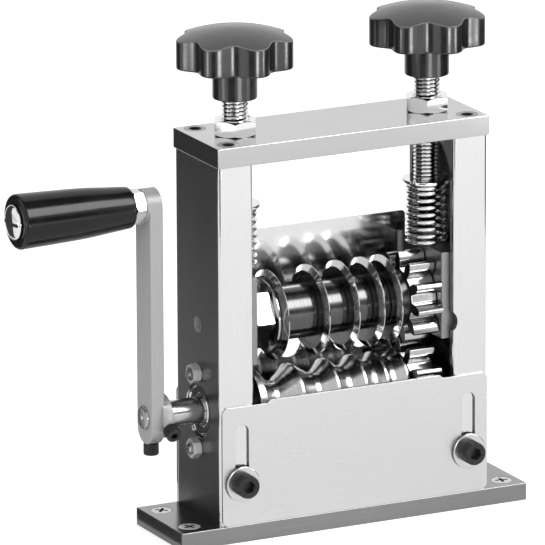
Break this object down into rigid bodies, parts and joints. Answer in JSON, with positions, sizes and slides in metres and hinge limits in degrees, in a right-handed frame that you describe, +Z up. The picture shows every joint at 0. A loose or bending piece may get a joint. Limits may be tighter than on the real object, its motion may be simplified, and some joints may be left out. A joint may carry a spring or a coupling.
{
  "type": "hand crank wire stripper",
  "caption": "Bench wire stripper: hand crank, grooved feed roller, geared disc blades in sprung blocks, star-knob adjusters in a steel frame on a base plate.",
  "frame": {"origin": "middle of the base plate's underside", "axes": "+X along the shafts away from the crank, +Y from the outfeed side at the front to the guide plate at the back, +Z up"},
  "size_m": [0.2419, 0.0539, 0.227],
  "materials": {
    "polished_steel": "mirror-polished sheet and bar",
    "bright_steel": "turned and milled, bright",
    "blade_steel": "ground and polished blade steel",
    "chrome": "bright plated",
    "screw_steel": "zinc plated, slightly dull",
    "black_steel": "gloss blackened, turned",
    "black_oxide": "black oxide, satin",
    "satin_aluminium": "satin",
    "black_plastic": "gloss moulded"
  },
  "bodies": {
    "root": {"base_plate": "polished_steel", "base_screw_front_left": "screw_steel", "base_screw_back_left": "screw_steel", "base_screw_front_right": "screw_steel", "base_screw_back_right": "screw_steel", "left_column": "polished_steel", "right_column": "polished_steel", "top_beam": "polished_steel", "beam_screw_front_left": "screw_steel", "beam_screw_back_left": "screw_steel", "beam_screw_front_right": "screw_steel", "beam_screw_back_right": "screw_steel", "left_bearing_housing": "black_oxide", "right_bearing_housing": "black_oxide", "left_drive_bearing": "bright_steel", "right_drive_bearing": "bright_steel", "left_housing_nut_upper": "chrome", "left_housing_nut_lower": "chrome", "right_housing_nut_upper": "chrome", "right_housing_nut_lower": "chrome", "guide_plate": "polished_steel", "left_cover_screw": "black_oxide", "right_cover_screw": "black_oxide"},
    "cover": {"front_cover": "polished_steel"},
    "drive": {"drive_shaft": "bright_steel", "feed_roller": "bright_steel", "drive_gear": "bright_steel", "crank_arm": "satin_aluminium", "crank_screw_front": "black_oxide", "crank_screw_end": "black_oxide", "handle_spindle": "chrome", "handle_cap": "chrome"},
    "grip": {"handle_grip": "black_plastic"},
    "carriage": {"left_bearing_block": "bright_steel", "right_bearing_block": "bright_steel", "left_blade_bearing": "bright_steel", "right_blade_bearing": "bright_steel", "left_spring": "chrome", "right_spring": "chrome"},
    "blades": {"blade_shaft": "bright_steel", "blade_1": "blade_steel", "blade_2": "blade_steel", "blade_3": "blade_steel", "blade_4": "blade_steel", "blade_5": "blade_steel", "blade_spacer_1": "black_steel", "blade_spacer_2": "black_steel", "blade_spacer_3": "black_steel", "blade_spacer_4": "black_steel", "blade_nut": "chrome", "blade_washer": "bright_steel", "blade_gear": "bright_steel"},
    "left_press": {"left_pressure_disc": "chrome"},
    "left_adjuster": {"left_adjusting_screw": "chrome", "left_knob": "black_plastic"},
    "left_lock": {"left_lock_nut": "chrome"},
    "right_press": {"right_pressure_disc": "chrome"},
    "right_adjuster": {"right_adjusting_screw": "chrome", "right_knob": "black_plastic"},
    "right_lock": {"right_lock_nut": "chrome"}
  },
  "joints": [
    {"name": "crank_turn", "type": "hinge", "parent": "root", "child": "drive", "pos_m": [0, 0, 0.056], "axis": [1, 0, 0], "continuous": true},
    {"name": "grip_spin", "type": "hinge", "parent": "drive", "child": "grip", "pos_m": [-0.12, 0, 0.152], "axis": [1, 0, 0], "continuous": true},
    {"name": "carriage_slide", "type": "slide", "parent": "root", "child": "carriage", "axis": [0, 0, 1], "range_m": [-0.002, 0.002]},
    {"name": "blade_turn", "type": "hinge", "parent": "carriage", "child": "blades", "pos_m": [0, 0, 0.095], "axis": [1, 0, 0], "continuous": true},
    {"name": "cover_slide", "type": "slide", "parent": "root", "child": "cover", "axis": [0, 0, 1], "range_m": [0, 0.0045]},
    {"name": "left_press_slide", "type": "slide", "parent": "root", "child": "left_press", "axis": [0, 0, 1], "range_m": [-0.007, 0], "deforming": ["left_spring"]},
    {"name": "left_knob_turn", "type": "hinge", "parent": "left_press", "child": "left_adjuster", "pos_m": [-0.0472, 0, 0.19], "axis": [0, 0, 1], "range_deg": [-1445, 0]},
    {"name": "left_lock_turn", "type": "hinge", "parent": "root", "child": "left_lock", "pos_m": [-0.0472, 0, 0.183], "axis": [0, 0, 1], "range_deg": [0, 90]},
    {"name": "right_press_slide", "type": "slide", "parent": "root", "child": "right_press", "axis": [0, 0, 1], "range_m": [-0.007, 0], "deforming": ["right_spring"]},
    {"name": "right_knob_turn", "type": "hinge", "parent": "right_press", "child": "right_adjuster", "pos_m": [0.0472, 0, 0.19], "axis": [0, 0, 1], "range_deg": [-1445, 0]},
    {"name": "right_lock_turn", "type": "hinge", "parent": "root", "child": "right_lock", "pos_m": [0.0472, 0, 0.183], "axis": [0, 0, 1], "range_deg": [0, 90]}
  ],
  "couplings": [
    {"joint": "blade_turn", "follows": "crank_turn", "ratio": -1},
    {"joint": "left_knob_turn", "follows": "left_press_slide", "rad_per_m": 3590.4},
    {"joint": "right_knob_turn", "follows": "right_press_slide", "rad_per_m": 3590.4}
  ]
}
